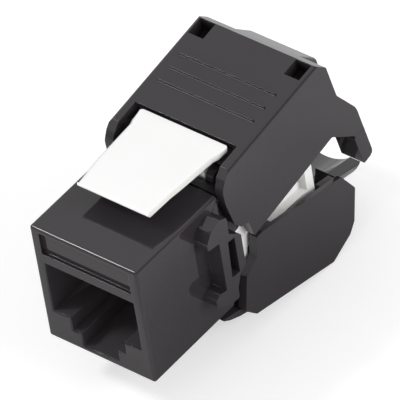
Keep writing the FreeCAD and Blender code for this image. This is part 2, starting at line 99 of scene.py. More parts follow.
# A material with its shader and its texture coordinates at hand.
def newMaterial(name):
    material = bpy.data.materials.new(name)
    material.use_nodes = True
    tree = material.node_tree
    shader = tree.nodes["Principled BSDF"]
    coords = tree.nodes.new("ShaderNodeTexCoord")
    return material, tree, shader, coords


mouldedGrain = {
    "cloud": (260, 4),  # scale and detail
    "peel": (1500, 2),
    "dustScale": 900,
    "speck": (0.05, 0.09),  # a speck's core and rim, in cells of the dust pattern
    "dusty": (0.56, 0.66),  # specks lie only where the cloud is lighter than this
    "peelHeight": 0.02 * mm,
    "roundingSamples": 10,
}


# Fine unevenness of a moulded plastic: cloudy tone, small dust specks and a very low orange-peel height.
def mouldedGroup(grain):
    group = bpy.data.node_groups.new("mouldedPlastic", "ShaderNodeTree")
    face = group.interface
    face.new_socket("Vector", in_out="INPUT", socket_type="NodeSocketVector")
    face.new_socket("Color", in_out="INPUT", socket_type="NodeSocketColor")
    face.new_socket("Lighter", in_out="INPUT", socket_type="NodeSocketColor")
    face.new_socket("Gloss", in_out="INPUT", socket_type="NodeSocketFloat")
    face.new_socket("Dull", in_out="INPUT", socket_type="NodeSocketFloat")
    face.new_socket("Color", in_out="OUTPUT", socket_type="NodeSocketColor")
    face.new_socket("Roughness", in_out="OUTPUT", socket_type="NodeSocketFloat")
    face.new_socket("Height", in_out="OUTPUT", socket_type="NodeSocketFloat")
    add = group.nodes.new
    link = group.links.new
    inputs = add("NodeGroupInput")
    outputs = add("NodeGroupOutput")

    cloud = noiseNode(group, *grain["cloud"])
    peel = noiseNode(group, *grain["peel"])
    dust = add("ShaderNodeTexVoronoi")
    dust.inputs["Scale"].default_value = grain["dustScale"]
    for texture in (cloud, peel, dust):
        link(inputs.outputs["Vector"], texture.inputs["Vector"])

    speck = rangeNode(group, grain["speck"], (1, 0), smooth=False)
    link(dust.outputs["Distance"], speck.inputs["Value"])
    patch = rangeNode(group, grain["dusty"], smooth=False)
    link(cloud.outputs["Fac"], patch.inputs["Value"])
    dusty = mathNode(group, "MULTIPLY")
    link(speck.outputs["Result"], dusty.inputs[0])
    link(patch.outputs["Result"], dusty.inputs[1])

    tone = mixNode(group, "RGBA")
    link(cloud.outputs["Fac"], tone.inputs["Factor"])
    link(inputs.outputs["Color"], tone.inputs[colorA])
    link(inputs.outputs["Lighter"], tone.inputs[colorB])
    link(tone.outputs[colorOut], outputs.inputs["Color"])

    gloss = mixNode(group, "FLOAT")
    link(dusty.outputs["Value"], gloss.inputs["Factor"])
    link(inputs.outputs["Gloss"], gloss.inputs[numberA])
    link(inputs.outputs["Dull"], gloss.inputs[numberB])
    link(gloss.outputs[numberOut], outputs.inputs["Roughness"])
    link(peel.outputs["Fac"], outputs.inputs["Height"])
    return group


moulded = mouldedGroup(mouldedGrain)


# Painted shade: multiplies a colour by the given tone where the surface turns to the left or right, so the
# sides read darker than the top.
def paintedSideShade(tree, coords, sides):
    split = tree.nodes.new("ShaderNodeSeparateXYZ")
    sideways = mathNode(tree, "ABSOLUTE")
    ramp = rangeNode(tree, sides["turned"])
    sideShadedColor = mixNode(tree, "RGBA")
    sideShadedColor.blend_type = "MULTIPLY"
    sideShadedColor.inputs[colorB].default_value = (*sides["tone"], 1)
    link = tree.links.new
    link(coords.outputs["Normal"], split.inputs["Vector"])
    link(split.outputs["X"], sideways.inputs[0])
    link(sideways.outputs["Value"], ramp.inputs["Value"])
    link(ramp.outputs["Result"], sideShadedColor.inputs["Factor"])
    return sideShadedColor


# Plastic in one finish, with its sharp edges shaded as slightly rounded ones.
def mouldedPlastic(name, finish):
    material, tree, shader, coords = newMaterial(name)
    surface = tree.nodes.new("ShaderNodeGroup")
    surface.node_tree = moulded
    surface.inputs["Color"].default_value = (*finish["color"], 1)
    surface.inputs["Lighter"].default_value = (*finish["lighter"], 1)
    surface.inputs["Gloss"].default_value = finish["gloss"]
    surface.inputs["Dull"].default_value = finish["dull"]
    rounding = tree.nodes.new("ShaderNodeBevel")
    rounding.samples = mouldedGrain["roundingSamples"]
    rounding.inputs["Radius"].default_value = finish["edge"]
    bump = bumpNode(tree, finish["peel"], mouldedGrain["peelHeight"])
    link = tree.links.new
    link(coords.outputs["Object"], surface.inputs["Vector"])
    # painted shade on the left and right faces, for a finish that has sides
    if "sides" in finish:
        sideShadedColor = paintedSideShade(tree, coords, finish["sides"])
        link(surface.outputs["Color"], sideShadedColor.inputs[colorA])
        link(sideShadedColor.outputs[colorOut], shader.inputs["Base Color"])
    else:
        link(surface.outputs["Color"], shader.inputs["Base Color"])
    link(surface.outputs["Roughness"], shader.inputs["Roughness"])
    link(surface.outputs["Height"], bump.inputs["Height"])
    link(rounding.outputs["Normal"], bump.inputs["Normal"])
    link(bump.outputs["Normal"], shader.inputs["Normal"])
    shader.inputs["IOR"].default_value = finish["ior"]
    return material


blackFinish = {
    "color": (0.026, 0.0225, 0.0255),
    "lighter": (0.031, 0.0275, 0.0305),
    "gloss": 0.05,
    "dull": 0.3,
    "edge": 0.05 * mm,
    "peel": 0.04,
    "ior": 1.45,
}
housingFinish = {**blackFinish, "edge": 0.08 * mm}
ridgeFinish = {**blackFinish, "edge": 0.01 * mm}
saddleFinish = {**blackFinish, "ior": 1.22}
# painted fill light: a lighter copy of the black for the shaded insides of the port and covers; the higher
# roughness is their real unpolished finish
innerFillLitFinish = {
    "color": (0.055, 0.05, 0.055),
    "lighter": (0.068, 0.062, 0.068),
    "gloss": 0.42,
    "dull": 0.6,
    "edge": 0.05 * mm,
    "peel": 0.3,
    "ior": 1.4,
}
latchFinish = {
    "color": (0.9, 0.9, 0.895),
    "lighter": (0.93, 0.93, 0.925),
    "gloss": 0.22,
    "dull": 0.4,
    "edge": 0.1 * mm,
    "peel": 0.05,
    "ior": 1.46,
    # painted shade: this tone darkens the latch's left and right faces
    "sides": {"tone": (0.74, 0.74, 0.725), "turned": (0.05, 0.75)},  # greyer than the top
}
blockFinish = {
    "color": (0.84, 0.835, 0.825),
    "lighter": (0.88, 0.875, 0.865),
    "gloss": 0.3,
    "dull": 0.5,
    "edge": 0.08 * mm,
    "peel": 0.08,
    "ior": 1.46,
}
cableBedFinish = {
    "color": (0.03, 0.026, 0.029),
    "lighter": (0.035, 0.031, 0.034),
    "gloss": 0.04,
    "dull": 0.2,
    "edge": 0.04 * mm,
    "peel": 0.02,
    "ior": 1.68,
}
insertFinish = {
    "color": (0.02, 0.02, 0.021),
    "lighter": (0.028, 0.028, 0.029),
    "gloss": 0.25,
    "dull": 0.45,
    "edge": 0.05 * mm,
    "peel": 0.08,
    "ior": 1.46,
}


# Rolled strip: fine drawn lines along the part, with the tone and roughness following them.
def rolledMetal(name, finish):
    material, tree, shader, coords = newMaterial(name)
    stretch = tree.nodes.new("ShaderNodeMapping")
    stretch.inputs["Scale"].default_value = finish["grain"]
    lines = noiseNode(tree, 1, finish["detail"])
    tone = tree.nodes.new("ShaderNodeValToRGB")
    tone.color_ramp.elements[0].color = (*finish["dark"], 1)
    tone.color_ramp.elements[1].color = (*finish["light"], 1)
    rough = rangeNode(tree, (0, 1), finish["roughness"], smooth=False)
    bump = bumpNode(tree, finish["lineStrength"], finish["lineHeight"])
    link = tree.links.new
    link(coords.outputs["Object"], stretch.inputs["Vector"])
    link(stretch.outputs["Vector"], lines.inputs["Vector"])
    link(lines.outputs["Fac"], tone.inputs["Fac"])
    link(lines.outputs["Fac"], rough.inputs["Value"])
    link(lines.outputs["Fac"], bump.inputs["Height"])
    link(tone.outputs["Color"], shader.inputs["Base Color"])
    link(rough.outputs["Result"], shader.inputs["Roughness"])
    link(bump.outputs["Normal"], shader.inputs["Normal"])
    shader.inputs["Metallic"].default_value = 1
    return material


goldFinish = {
    "dark": (0.72, 0.47, 0.16),
    "light": (0.95, 0.72, 0.33),
    "grain": (9000, 500, 500),  # lines across x, drawn along the strip
    "detail": 3,
    "roughness": (0.12, 0.28),
    "lineStrength": 0.15,
    "lineHeight": 0.01 * mm,
}
tinFinish = {
    **goldFinish,
    "dark": (0.55, 0.54, 0.52),
    "light": (0.76, 0.75, 0.73),
    "grain": (900, 900, 5000),
    "roughness": (0.25, 0.42),
}


# Solder mask over copper: the tracks show as a lighter green, on the board's fine weave.
def boardMaterial(name, finish):
    material, tree, shader, coords = newMaterial(name)
    tracks = tree.nodes.new("ShaderNodeTexBrick")
    tracks.inputs["Scale"].default_value = finish["trackScale"]
    tracks.inputs["Mortar Size"].default_value = finish["trackWidth"]
    tracks.inputs["Color1"].default_value = (*finish["mask"], 1)
    tracks.inputs["Color2"].default_value = (*finish["mask"], 1)
    tracks.inputs["Mortar"].default_value = (*finish["track"], 1)
    weave = tree.nodes.new("ShaderNodeTexWave")
    weave.inputs["Scale"].default_value = finish["weaveScale"]
    bump = bumpNode(tree, finish["weaveStrength"], finish["weaveHeight"])
    link = tree.links.new
    link(coords.outputs["Object"], tracks.inputs["Vector"])
    link(coords.outputs["Object"], weave.inputs["Vector"])
    link(tracks.outputs["Color"], shader.inputs["Base Color"])
    link(weave.outputs["Fac"], bump.inputs["Height"])
    link(bump.outputs["Normal"], shader.inputs["Normal"])
    shader.inputs["Roughness"].default_value = finish["roughness"]
    return material


boardFinish = {
    "mask": (0.01, 0.13, 0.045),
    "track": (0.03, 0.24, 0.09),
    "trackScale": 700,
    "trackWidth": 0.05,  # as a part of one track's spacing
    "weaveScale": 1200,
    "weaveStrength": 0.2,
    "weaveHeight": 0.02 * mm,
    "roughness": 0.3,
}

materials = {
    "black": mouldedPlastic("blackGlossMoulding", blackFinish),
    "housing": mouldedPlastic("blackHousingMoulding", housingFinish),
    "inner": mouldedPlastic("unpolishedInnerWallsFillLit", innerFillLitFinish),
    "ridge": mouldedPlastic("blackRidgeMoulding", ridgeFinish),
    "saddle": mouldedPlastic("blackSaddleMoulding", saddleFinish),
    "latch": mouldedPlastic("whiteLatchMoulding", latchFinish),
    "block": mouldedPlastic("whiteBlockMoulding", blockFinish),
    "cableBed": mouldedPlastic("polishedCableBed", cableBedFinish),
    "insert": mouldedPlastic("darkInsertMoulding", insertFinish),
    "gold": rolledMetal("goldPlatedStrip", goldFinish),
    "tin": rolledMetal("tinnedBlade", tinFinish),
    "board": boardMaterial("greenBoard", boardFinish),
}
nodeFinish = {
    "housing": "black",
    "upper_cover": "black",
    "lower_cover": "black",
    "panel_latch": "latch",
    "terminal_block": "block",
    "contact_carrier": "insert",
    "circuit_board": "board",
}
for name, node in nodes.items():
    if name.startswith("contact_") and name != "contact_carrier":
        finish = "gold"
    elif "terminal_" in name and name != "terminal_block":
        finish = "tin"
    else:
        finish = nodeFinish[name]
    for slot in node.material_slots:
        slot.material = materials[finish]
print("materials placed")


def startEdit(mode):
    bpy.ops.object.mode_set(mode="EDIT")
    bpy.ops.mesh.select_mode(type=mode)
    bpy.ops.mesh.select_all(action="DESELECT")


# Selects what the test says yes to, by each element's middle, in metres. An edge pick in vertex mode also
# takes the other edges between the chosen edges' ends.
def pick(piece, kind, test):
    bpy.ops.object.mode_set(mode="OBJECT")
    mesh = piece.data
    corners = mesh.vertices
    for group in (mesh.vertices, mesh.edges, mesh.polygons):
        for element in group:
            element.select = False
    if kind == "VERT":
        for corner in corners:
            corner.select = test(corner.co)
    elif kind == "EDGE":
        for edge in mesh.edges:
            first, second = (corners[index].co for index in edge.vertices)
            edge.select = test((first + second) / 2, second - first)
    else:
        for face in mesh.polygons:
            face.select = test(face.center, face.normal)
    bpy.ops.object.mode_set(mode="EDIT")
    bpy.ops.mesh.select_mode(type=kind)


def boxPiece(name, low, high):
    bpy.ops.object.select_all(action="DESELECT")
    bpy.ops.mesh.primitive_cube_add(size=1, location=(0, 0, 0))
    piece = bpy.context.object
    piece.name = name
    spans = [top - bottom for bottom, top in zip(low, high)]
    middle = [(top + bottom) / 2 for bottom, top in zip(low, high)]
    piece.data.transform(Matrix.Translation(middle) @ Matrix.Diagonal((*spans, 1)))
    return piece


# A box across the middle.
def middleBox(name, form):
    half = form["halfWidth"]
    return boxPiece(name, (-half, form["front"], form["bottom"]), (half, form["rear"], form["top"]))


# The same form's box on the right or, with side -1, mirrored to the left.
def sideBox(name, form, side):
    left, right = sorted((side * form["inside"], side * form["outside"]))
    return boxPiece(name, (left, form["front"], form["bottom"]), (right, form["rear"], form["top"]))


def sideName(name, side):
    return name + ("Right" if side > 0 else "Left")


def barPiece(name, radius, length, at, sides=32):
    bpy.ops.object.select_all(action="DESELECT")
    bpy.ops.mesh.primitive_cylinder_add(vertices=sides, radius=radius, depth=length, location=(0, 0, 0))
    piece = bpy.context.object
    piece.name = name
    piece.data.transform(Matrix.Translation(at) @ Matrix.Rotation(math.radians(90), 4, "Y"))
    return piece


def bevelPicked(offset, segments):
    bpy.ops.mesh.bevel(offset=offset, offset_type="OFFSET", segments=segments, profile=0.5, affect="EDGES")
    bpy.ops.object.mode_set(mode="OBJECT")


# Cuts an edge loop round the whole piece, where a plane meets it.
def bisectAt(at, facing):
    startEdit("VERT")
    bpy.ops.mesh.select_all(action="SELECT")
    bpy.ops.mesh.bisect(plane_co=at, plane_no=facing)
    bpy.ops.object.mode_set(mode="OBJECT")


def makeActive(piece):
    bpy.ops.object.select_all(action="DESELECT")
    piece.select_set(True)
    bpy.context.view_layer.objects.active = piece


def cutAway(piece, cutter):
    makeActive(piece)
    modifier = piece.modifiers.new("cut", "BOOLEAN")
    modifier.operation = "DIFFERENCE"
    modifier.solver = "EXACT"
    modifier.object = cutter
    bpy.ops.object.modifier_apply(modifier="cut")
    bpy.data.objects.remove(cutter)


def joined(pieces):
    bpy.ops.object.select_all(action="DESELECT")
    for piece in pieces:
        piece.select_set(True)
    bpy.context.view_layer.objects.active = pieces[0]
    bpy.ops.object.join()
    return pieces[0]


# A merged copy of a solid's mesh, to be cut further.
def copiedNode(nodeName, name):
    piece = bpy.data.objects.new(name, nodes[nodeName].data.copy())
    scene.collection.objects.link(piece)
    makeActive(piece)
    startEdit("VERT")
    bpy.ops.mesh.select_all(action="SELECT")
    bpy.ops.mesh.remove_doubles(threshold=0.001 * mm)
    bpy.ops.object.mode_set(mode="OBJECT")
    return piece


# Turns a piece made in the closed position to the open one that the frame has.
def openedAbout(piece, hinge, degrees):
    there = Matrix.Translation(hinge)
    piece.data.transform(there @ Matrix.Rotation(math.radians(degrees), 4, "X") @ there.inverted())


plainAngle = 35
copiedAngle = 6  # the copies of solids already have their rounded edges


# Smooths a piece, gives it its finish and ties it to its body.
def finishPiece(piece, finish, body, smoothAngle=plainAngle):
    makeActive(piece)
    bpy.ops.object.shade_smooth_by_angle(angle=math.radians(smoothAngle))
    piece.data.materials.clear()
    piece.data.materials.append(materials[finish])
    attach(piece, body)


# The covers' hinge lines, and how far open the frame shows them, in degrees.
upperHinge = Vector((0, 18.6 * mm, 1.0 * mm))
lowerHinge = Vector((0, 18.6 * mm, -3.6 * mm))
upperOpen = 11.5
lowerOpen = -12.0


housingForm = {
    # what is cut from the left stop
    "inside": 7.26 * mm,
    "outside": 10.0 * mm,
    "front": 8.0 * mm,
    "rear": 15.5 * mm,
    "bottom": 5.2 * mm,  # the left stop ends here, below the line of the body's top edge
    "top": 7.6 * mm,
    # where the unpolished inside, lightened as painted fill light, is
    "innerHalfWidth": 6.3 * mm,
    "innerHalfHeight": 7.5 * mm,
    "innerEnd": 13.3 * mm,
    "bandFoot": 4.2 * mm,  # the shallow band on the front above this stays polished
    "bandDepth": 1.0 * mm,
    "lip": 0.22 * mm,  # the port's front edges stay polished this far in
}


# The moulded body, with the left stop's upper end cut down and its inside left unpolished, in a lighter
# colour that is painted fill light.
def makeHousing(form):
    housing = copiedNode("housing", "housingShell")
    cutAway(housing, sideBox("stopCutter", form, -1))
    bisectAt((0, form["lip"], 0), (0, 1, 0))
    finishPiece(housing, "housing", "front", copiedAngle)
    housing.data.materials.append(materials["inner"])
    for face in housing.data.polygons:
        at = face.center
        behindLip = form["lip"] < at.y < form["innerEnd"]
        inBand = at.y <= form["bandDepth"] and at.z >= form["bandFoot"]
        inside = abs(at.x) < form["innerHalfWidth"] and abs(at.z) < form["innerHalfHeight"]
        if behindLip and inside and not inBand:
            face.material_index = 1
    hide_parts("housing")


makeHousing(housingForm)
print("housing made")


sideRecess = {
    "inside": 5.62 * mm,
    "outside": 7.0 * mm,
    "front": 20.6 * mm,
    "rear": 28.07 * mm,  # behind this the full width stays, as a flange
    "bottom": -3.05 * mm,
    "top": 3.4 * mm,
}


# The block's sides step in over a ledge, in front of the rear flange.
def makeBlock(recess):
    block = copiedNode("terminal_block", "terminalCore")
    for side in (-1, 1):
        cutAway(block, sideBox("recessCutter", recess, side))
    finishPiece(block, "block", "front", copiedAngle)
    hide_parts("terminal_block")


makeBlock(sideRecess)
print("block made")


armForm = {
    "inside": 6.59 * mm,
    "outside": 6.78 * mm,
    "front": 13.4 * mm,
    "rear": 17.0 * mm,
    "bottom": 0.75 * mm,
    "top": 5.9 * mm,
    "corner": 0.8 * mm,
}


# A thin arm of the housing laps each side of the block. The left one is made first, in vertex mode, so all
# four of its rear edges are bevelled and it comes out thicker than the right one.
def makeArm(form, side):
    arm = sideBox(sideName("blockArm", side), form, side)
    pick(arm, "EDGE", lambda at, along: at.y > form["rear"] - near and abs(along.x) > close)
    bevelPicked(form["corner"], 5)
    finishPiece(arm, "black", "front")


for side in (-1, 1):
    makeArm(armForm, side)
print("arms made")


latchForm = {
    "front": 5.67 * mm,
    "rear": 18.1 * mm,
    "top": 10.95 * mm,
    "bottom": 10.42 * mm,
    "halfWidth": 1.0 * mm,  # before the taper
    "noseTop": 10.6 * mm,
    "noseBottom": 10.2 * mm,
    # half the width at places from the nose to the rear, in mm
    "taper": ((5.67, 4.9), (9.0, 5.14), (10.5, 5.28), (15.7, 5.62), (16.3, 5.86), (18.1, 5.9)),
    "frontCorner": 0.2 * mm,  # rounds the whole front edge of the nose
    "rearCorner": 0.4 * mm,
    "topRound": 0.44 * mm,
    "roundedFrom": 0.6 * mm,  # the side edges are rounded from here behind the nose
}


# The white tongue: a tapered plate with its nose bent down and well rounded sides.
def makeLatchPlate(form):
    plate = middleBox("latchPlate", form)
    top = form["top"]
    bottom = form["bottom"]
    nose = form["front"] + near
    for y, width in form["taper"][1:-1]:
        bisectAt((0, y * mm, 0), (0, 1, 0))
    for y, width in form["taper"]:
        pick(plate, "VERT", lambda at: abs(at.y - y * mm) < near)
        bpy.ops.transform.resize(value=(width * mm / form["halfWidth"], 1, 1), center_override=(0, y * mm, 0))
    pick(plate, "VERT", lambda at: at.y < nose and at.z > top - near)
    bpy.ops.transform.translate(value=(0, 0, form["noseTop"] - top))
    pick(plate, "VERT", lambda at: at.y < nose and at.z < bottom + near)
    bpy.ops.transform.translate(value=(0, 0, form["noseBottom"] - bottom))

    upright = 0.6 * (top - bottom)
    pick(plate, "EDGE", lambda at, along: abs(along.z) > upright and at.y < form["front"] + close)
    bevelPicked(form["frontCorner"], 5)
    pick(plate, "EDGE", lambda at, along: abs(along.z) > upright and at.y > form["rear"] - close)
    bevelPicked(form["rearCorner"], 5)

    # the sides' upper edges, each piece of them longer than the corners' facets
    def sideTop(at, along):
        outer = abs(at.x) > form["taper"][0][1] * mm and abs(along.y) > 2 * close
        return outer and at.z > bottom + upright and at.y > form["front"] + form["roundedFrom"]

    pick(plate, "EDGE", sideTop)
    bevelPicked(form["topRound"], 6)
    return plate


stemForm = {
    "halfWidth": 4.3 * mm,
    "front": 15.5 * mm,
    "rear": 17.45 * mm,
    "bottom": 7.0 * mm,
    "top": latchForm["bottom"] + close,
    "footFront": 14.2 * mm,
    "footHeight": 0.9 * mm,
    "rounding": 0.5 * mm,
    "barRadius": 0.65 * mm,
    "barHalfLength": 5.6 * mm,
    "barAt": (0, 16.4 * mm, 7.9 * mm),
    "barEdge": 0.12 * mm,
}


# The stem under the tongue's rear end, spreading forwards into it, and the bar that clips into the ears.
def makeLatchRoot(form):
    stem = middleBox("latchStem", form)
    bisectAt((0, 0, form["top"] - form["footHeight"]), (0, 0, 1))
    pick(stem, "VERT", lambda at: at.z > form["top"] - close and at.y < form["front"] + close)
    bpy.ops.transform.translate(value=(0, form["footFront"] - form["front"], 0))
    pick(stem, "EDGE", lambda at, along: at.z < form["bottom"] + close and abs(along.x) > mm)
    bevelPicked(form["rounding"], 5)
    bar = barPiece("latchBar", form["barRadius"], 2 * form["barHalfLength"], form["barAt"])
    pick(bar, "EDGE", lambda at, along: abs(at.x) > form["barHalfLength"] - near)
    bevelPicked(form["barEdge"], 2)
    return [stem, bar]


def makeLatch():
    latch = joined([makeLatchPlate(latchForm)] + makeLatchRoot(stemForm))
    latch.name = "latchTongue"
    finishPiece(latch, "latch", "panel_latch")
    bpy.ops.object.modifier_add(type="WEIGHTED_NORMAL")
    latch.modifiers[-1].keep_sharp = True
    bpy.ops.object.modifier_apply(modifier=latch.modifiers[-1].name)
    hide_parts("panel_latch")


makeLatch()
print("latch made")


troughForm = {
    "halfWidth": 3.36 * mm,
    "front": 33.3 * mm,
    "rear": 39.59 * mm,
    "bottom": -5.6 * mm,
    "top": -4.29 * mm,
    "bed": -5.47 * mm,  # the lowest line of the groove
    "halfChord": 3.3 * mm,  # half the groove's width at the rims
    "sides": 160,
}


# The trough's bed rises to the rims in one round sweep: a block with a round groove cut along it.
def makeTroughBed(form):
    bed = middleBox("troughBed", form)
    depth = form["top"] - form["bed"]
    radius = (form["halfChord"] ** 2 + depth ** 2) / (2 * depth)
    length = form["rear"] - form["front"] + 2 * mm
    middleY = (form["rear"] + form["front"]) / 2
    groove = barPiece("groove", radius, length, (0, 0, 0), form["sides"])
    groove.data.transform(Matrix.Rotation(math.radians(90), 4, "Z"))
    groove.data.transform(Matrix.Translation((0, middleY, form["bed"] + radius)))
    cutAway(bed, groove)
    openedAbout(bed, lowerHinge, lowerOpen)
    finishPiece(bed, "cableBed", "lower_cover")


makeTroughBed(troughForm)
print("trough made")


lowerCoverForm = {
    # the rebate along the inside of the side walls' open edges
    "inside": 6.5 * mm,
    "outside": 7.45 * mm,
    "front": 20.4 * mm,
    "rear": 33.2 * mm,
    "bottom": -4.4 * mm,
    "top": 0.5 * mm,
    # where the unpolished inner walls, lightened as painted fill light, and the outside of the saddle are
    "sideWallsFrom": 5 * mm,
    "rearWallFrom": 30 * mm,
    "saddleFrom": 35 * mm,
    "squareTo": 0.7,  # how squarely a side wall faces sideways
    "leaning": 0.5,
    "under": 0.3,
}


# The lower cover with a rebate in its side walls, its inner walls in the unpolished finish with painted fill
# light, and its saddle in a finish of its own.
def makeLowerCover(form):
    cover = copiedNode("lower_cover", "lowerShell")
    for side in (-1, 1):
        cutter = sideBox("rebateCutter", form, side)
        openedAbout(cutter, lowerHinge, lowerOpen)
        cutAway(cover, cutter)
    finishPiece(cover, "black", "lower_cover", copiedAngle)
    cover.data.materials.append(materials["inner"])
    cover.data.materials.append(materials["saddle"])
    for face in cover.data.polygons:
        at, facing = face.center, face.normal
        inwards = at.x * facing.x < 0 and abs(facing.x) > form["squareTo"]
        sideWall = abs(at.x) > form["sideWallsFrom"] and inwards
        rearWall = at.y > form["rearWallFrom"] and facing.y < -form["leaning"]
        downwards = facing.z < form["under"] and abs(facing.y) < form["leaning"]
        if sideWall or rearWall:
            face.material_index = 1
        elif at.y > form["saddleFrom"] and downwards:
            face.material_index = 2
    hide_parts("lower_cover")


makeLowerCover(lowerCoverForm)


ledgeForm = {
    "inside": 5.7 * mm,
    "outside": 7.43 * mm,
    "front": 30.3 * mm,
    "rear": 32.6 * mm,
    "bottom": -3.1 * mm,
    "top": -2.1 * mm,
    "rounding": 0.15 * mm,
}


# A small ledge inside each rear corner of the lower cover.
def makeLedge(form, side):
    ledge = sideBox(sideName("ledge", side), form, side)
    pick(ledge, "EDGE", lambda at, along: at.z > form["top"] - near and at.y < form["front"] + near)
    bevelPicked(form["rounding"], 3)
    openedAbout(ledge, lowerHinge, lowerOpen)
    # in the unpolished finish, whose lighter colour is painted fill light
    finishPiece(ledge, "inner", "lower_cover")


for side in (-1, 1):
    makeLedge(ledgeForm, side)
print("lower cover made")


ridgeForm = {
    "halfWidth": 6.42 * mm,
    "front": -0.13 * mm,
    "rear": 0.17 * mm,
    "bottom": -0.06 * mm,
    "top": 0.225 * mm,
    "frontSlope": 0.03 * mm,
    "rearSlope": 0.07 * mm,
    "rounding": 0.04 * mm,
    "places": ((23.95, 10.92), (25.95, 10.82), (27.95, 10.72)),  # y and z on the roof, in mm
}


# One ridge with slightly rounded upper edges, and its copies.
def makeRidges(form):
    ridge = middleBox("gripRidge", form)
    nearTop = form["top"] - near
    pick(ridge, "VERT", lambda at: at.z > nearTop and at.y > 0)
    bpy.ops.transform.translate(value=(0, -form["rearSlope"], 0))
    pick(ridge, "VERT", lambda at: at.z > nearTop and at.y < 0)
    bpy.ops.transform.translate(value=(0, form["frontSlope"], 0))
    pick(ridge, "EDGE", lambda at, along: at.z > nearTop)
    bevelPicked(form["rounding"], 2)
    for number, (y, z) in enumerate(form["places"], 1):
        copy = bpy.data.objects.new(f"gripRidge{number}", ridge.data.copy())
        scene.collection.objects.link(copy)
        copy.data.transform(Matrix.Translation((0, y * mm, z * mm)))
        openedAbout(copy, upperHinge, upperOpen)
        finishPiece(copy, "ridge", "upper_cover")
    bpy.data.objects.remove(ridge)


makeRidges(ridgeForm)
print("ridges made")


pocketForm = {
    "inside": 5.2 * mm,
    "outside": 7.8 * mm,
    "front": 30.45 * mm,
    "rear": 33.25 * mm,
    "bottom": 8.3 * mm,
    "top": 9.75 * mm,
    "wall": 0.22 * mm,
}


# A small tray closes each pocket in the roof's rear corners.
def makePocket(form, side):
    tray = sideBox(sideName("pocket", side), form, side)
    pick(tray, "FACE", lambda at, facing: facing.z > 0.9)
    bpy.ops.mesh.inset(thickness=form["wall"])
    depth = form["top"] - form["bottom"] - form["wall"]
    bpy.ops.mesh.extrude_region_move(TRANSFORM_OT_translate={"value": (0, 0, -depth)})
    bpy.ops.object.mode_set(mode="OBJECT")
    openedAbout(tray, upperHinge, upperOpen)
    finishPiece(tray, "black", "upper_cover")


for side in (-1, 1):
    makePocket(pocketForm, side)
print("pockets made")


footForm = {
    "inside": 4.99 * mm,
    "outside": 8.01 * mm,
    "front": 34.46 * mm,
    "rear": 36.21 * mm,
    "bottom": -8.3 * mm,
    "top": -3.9 * mm,
    "frontCut": 0.22 * mm,
    "rearCut": 0.55 * mm,
}


# The legs of the arch end in feet with cut edges.
def makeFoot(form, side):
    foot = sideBox(sideName("archFoot", side), form, side)
    middleY = (form["front"] + form["rear"]) / 2

    def lowAcross(at, along):
        return at.z < form["bottom"] + near and abs(along.x) > mm

    pick(foot, "EDGE", lambda at, along: lowAcross(at, along) and at.y < middleY)
    bevelPicked(form["frontCut"], 2)
    pick(foot, "EDGE", lambda at, along: lowAcross(at, along) and at.y > form["rear"] - near)
    bevelPicked(form["rearCut"], 2)
    openedAbout(foot, upperHinge, upperOpen)
    finishPiece(foot, "black", "upper_cover")


for side in (-1, 1):
    makeFoot(footForm, side)
print("arch feet made")


rimForm = {
    "halfWidth": 7.1 * mm,
    "front": 13.9 * mm,
    "rear": 15.15 * mm,
    "bottom": 6.7 * mm,
    "top": 7.93 * mm,
    "rounding": 0.3 * mm,
}


# A cross rim behind the housing's roof, which hides the ends of the contacts.
def makeRearRim(form):
    rim = middleBox("rearRim", form)
    pick(rim, "EDGE", lambda at, along: abs(along.x) > mm and at.y > form["rear"] - near)
    bevelPicked(form["rounding"], 4)
    finishPiece(rim, "black", "front")


makeRearRim(rimForm)
print("rear rim made")


floorSettings = {
    "size": 3.0,
    "gap": 0.05 * mm,
    "middleY": 18 * mm,
    "color": (0.7, 0.7, 0.7),
    "roughness": 0.9,
    # painted shadow: reflections of the floor are darkened close beside the object
    "paintedShadowLevel": 0.32,  # the part of its brightness that a reflection meets close beside the object
    "paintedShadowReach": (8 * mm, 31 * mm),  # from the object's middle to where the dimming ends
    "lift": 0.45,  # added where the camera sees the floor, so that it reads as white but keeps the shadow
    "mirrorLift": 0.04,  # the same in reflections and through clear things
}


# 1 for rays that the camera sees directly, in a reflection or through something clear.
def seenRays(tree, path):
    first = mathNode(tree, "MAXIMUM")
    second = mathNode(tree, "MAXIMUM")
    tree.links.new(path.outputs["Is Camera Ray"], first.inputs[0])
    tree.links.new(path.outputs["Is Glossy Ray"], first.inputs[1])
    tree.links.new(first.outputs["Value"], second.inputs[0])
    tree.links.new(path.outputs["Is Transmission Ray"], second.inputs[1])
    return second


# The floor's colour, with a painted shadow close beside the object that reflections alone see.
def floorToneWithPaintedShadow(tree, path, height, settings):
    coords = tree.nodes.new("ShaderNodeTexCoord")
    centred = tree.nodes.new("ShaderNodeMapping")
    centred.inputs["Location"].default_value = (0, -settings["middleY"], -height)
    away = tree.nodes.new("ShaderNodeVectorMath")
    away.operation = "LENGTH"
    ring = rangeNode(tree, settings["paintedShadowReach"], (1, 0))
    shaded = mathNode(tree, "MULTIPLY")
    tone = mixNode(tree, "RGBA")
    tone.inputs[colorA].default_value = (*settings["color"], 1)
    tone.inputs[colorB].default_value = (*[part * settings["paintedShadowLevel"] for part in settings["color"]], 1)
    link = tree.links.new
    link(coords.outputs["Object"], centred.inputs["Vector"])
    link(centred.outputs["Vector"], away.inputs[0])
    link(away.outputs["Value"], ring.inputs["Value"])
    link(ring.outputs["Result"], shaded.inputs[0])
    link(path.outputs["Is Glossy Ray"], shaded.inputs[1])
    link(shaded.outputs["Value"], tone.inputs["Factor"])
    return tone


